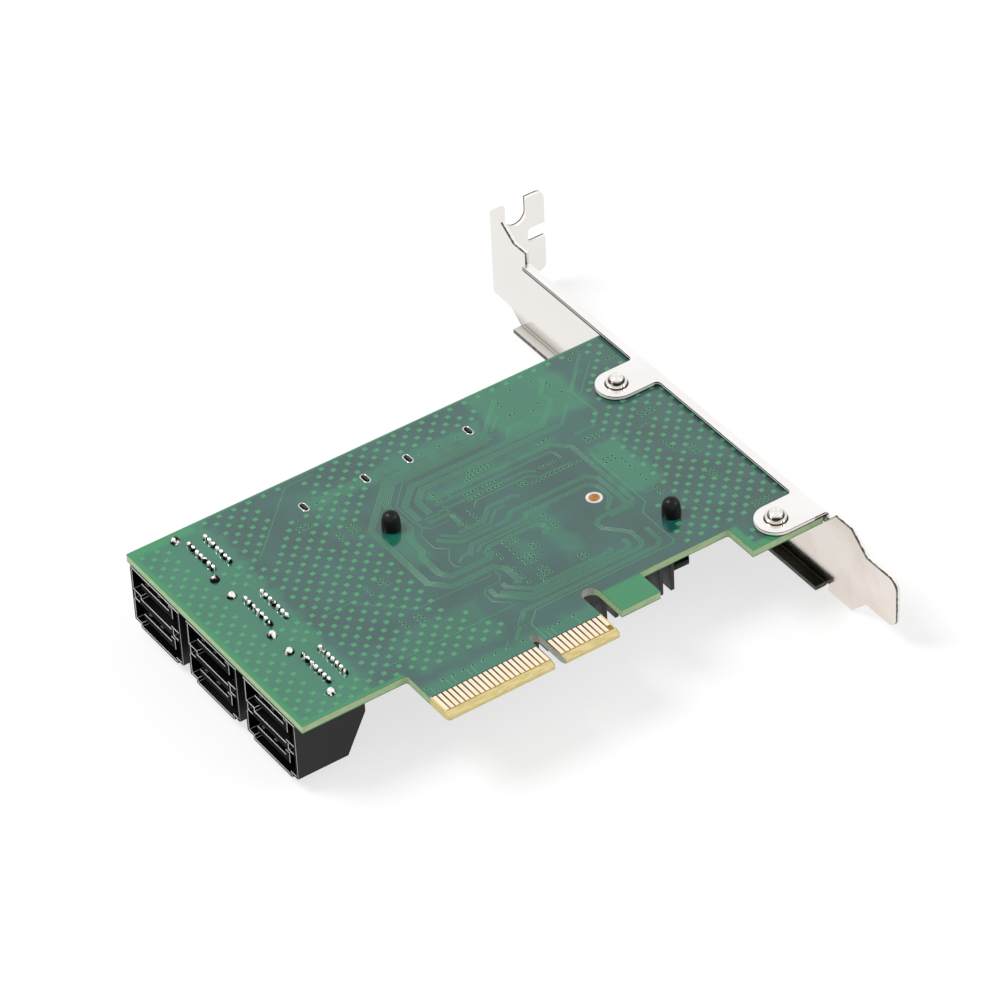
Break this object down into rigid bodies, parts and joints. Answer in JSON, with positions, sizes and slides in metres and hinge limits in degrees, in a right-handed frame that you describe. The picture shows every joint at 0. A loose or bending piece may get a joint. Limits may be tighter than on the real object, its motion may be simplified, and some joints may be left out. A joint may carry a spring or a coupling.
{
  "type": "sata controller card",
  "caption": "Expansion card with stacked SATA sockets at one end, gold edge contacts, a push-pinned black heatsink and a full-height folded bracket.",
  "frame": {"origin": "centre of the key notch at the lower edge of the tongue, on the solder-side face of the board", "axes": "+X along the board towards the bracket, +Y from the edge contacts to the top edge, +Z out of the solder side"},
  "size_m": [0.1118, 0.12, 0.021],
  "materials": {
    "solder_mask": "glossy blue-green solder mask over copper",
    "contact_gold": "gold plating",
    "bracket_steel": "bright plated sheet steel",
    "screw_steel": "bright plated steel",
    "port_plastic": "black moulded plastic",
    "lock_metal": "tin-plated steel",
    "solder": "bright solder",
    "ring_silver": "tin-plated copper ring",
    "heatsink_black": "black anodised aluminium",
    "pin_plastic": "black nylon",
    "spring_steel": "bright spring wire",
    "pad_grey": "soft grey thermal pad",
    "substrate_green": "green chip substrate",
    "cap_black": "black moulding compound",
    "lead_tin": "tin plating",
    "crystal_ceramic": "dark ceramic",
    "crystal_metal": "nickel-plated lid",
    "ferrite_grey": "pressed ferrite powder",
    "tantalum_yellow": "yellow moulded case",
    "ceramic_tan": "tan ceramic",
    "pack_black": "black coated ceramic",
    "bare_copper": "bare copper under clear finish"
  },
  "bodies": {
    "root": {"circuit_board": "solder_mask", "edge_contacts_solder_side": "contact_gold", "edge_contacts_component_side": "contact_gold", "bracket": "bracket_steel", "bracket_screws": "screw_steel", "sata_stack_housings": "port_plastic", "sata_stack_contacts": "contact_gold", "sata_stack_board_locks": "lock_metal", "sata_solder_joints": "solder", "top_sata_housings": "port_plastic", "top_sata_contacts": "contact_gold", "top_sata_board_locks": "lock_metal", "top_slot_rings": "ring_silver", "heatsink": "heatsink_black", "push_pins": "pin_plastic", "push_pin_springs": "spring_steel", "thermal_pad": "pad_grey", "controller_substrate": "substrate_green", "controller_cap": "cap_black", "flash_memory_body": "cap_black", "flash_memory_leads": "lead_tin", "crystal_base": "crystal_ceramic", "crystal_lid": "crystal_metal", "regulator_bodies": "cap_black", "regulator_tabs": "lead_tin", "power_inductors": "ferrite_grey", "tantalum_bodies": "tantalum_yellow", "tantalum_terminals": "lead_tin", "ceramic_capacitors": "ceramic_tan", "ceramic_capacitor_ends": "lead_tin", "resistor_packs": "pack_black", "mark_ring": "ring_silver", "mark_dot": "bare_copper"}
  },
  "joints": []
}
